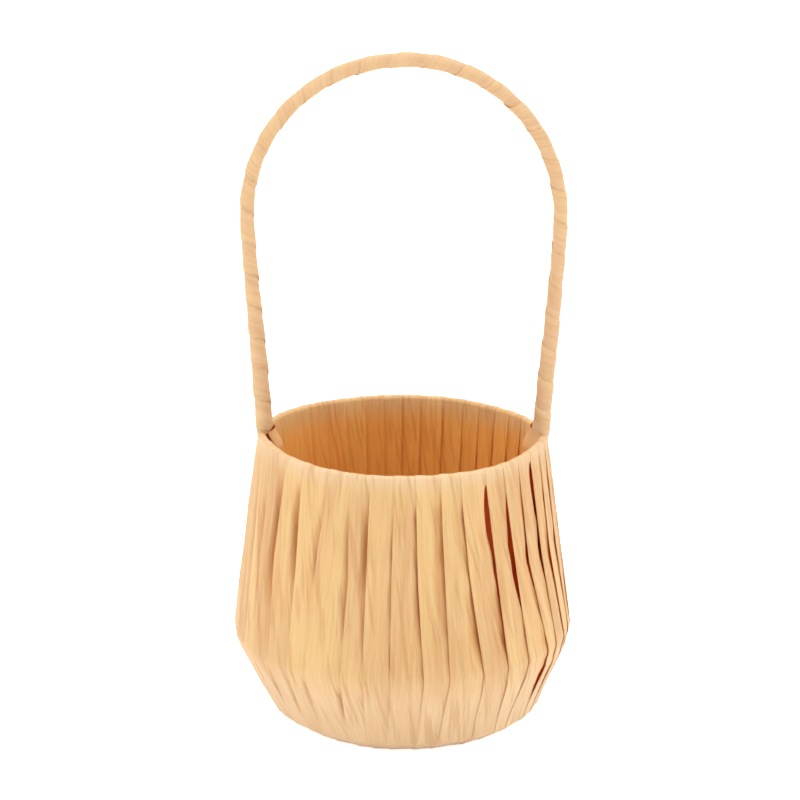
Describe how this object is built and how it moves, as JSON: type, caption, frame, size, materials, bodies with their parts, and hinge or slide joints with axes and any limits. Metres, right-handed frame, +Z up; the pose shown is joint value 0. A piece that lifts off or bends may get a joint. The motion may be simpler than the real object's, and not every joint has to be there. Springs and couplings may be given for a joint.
{
  "type": "handled ribbon basket",
  "caption": "Small round basket with a belly crease and a tall fixed arched handle, wound from flat raffia-like ribbon over a wire frame.",
  "frame": {"origin": "on the basket's upright axis, on the surface that it stands on", "axes": "+Z up; the handle's arch lies in the XZ plane, with its feet at -X and +X; the front of the basket faces -Y"},
  "size_m": [0.1354, 0.1354, 0.2638],
  "materials": {
    "ribbon": "pale tan fibrous raffia ribbon, satin",
    "wire": "dull galvanised wire",
    "board": "plain grey-brown board"
  },
  "bodies": {
    "root": {"rim_ring": "wire", "belly_ring": "wire", "lower_ring": "wire", "foot_ring": "wire", "upright_1": "wire", "upright_2": "wire", "upright_3": "wire", "upright_4": "wire", "upright_5": "wire", "upright_6": "wire", "upright_7": "wire", "upright_8": "wire", "wall_ribbon_front": "ribbon", "wall_ribbon_back": "ribbon", "handle_core": "wire", "handle_ribbon_left": "ribbon", "handle_ribbon_right": "ribbon", "floor_board": "board", "floor_ribbon": "ribbon", "leg_cover_left": "ribbon", "leg_cover_right": "ribbon"}
  },
  "joints": []
}
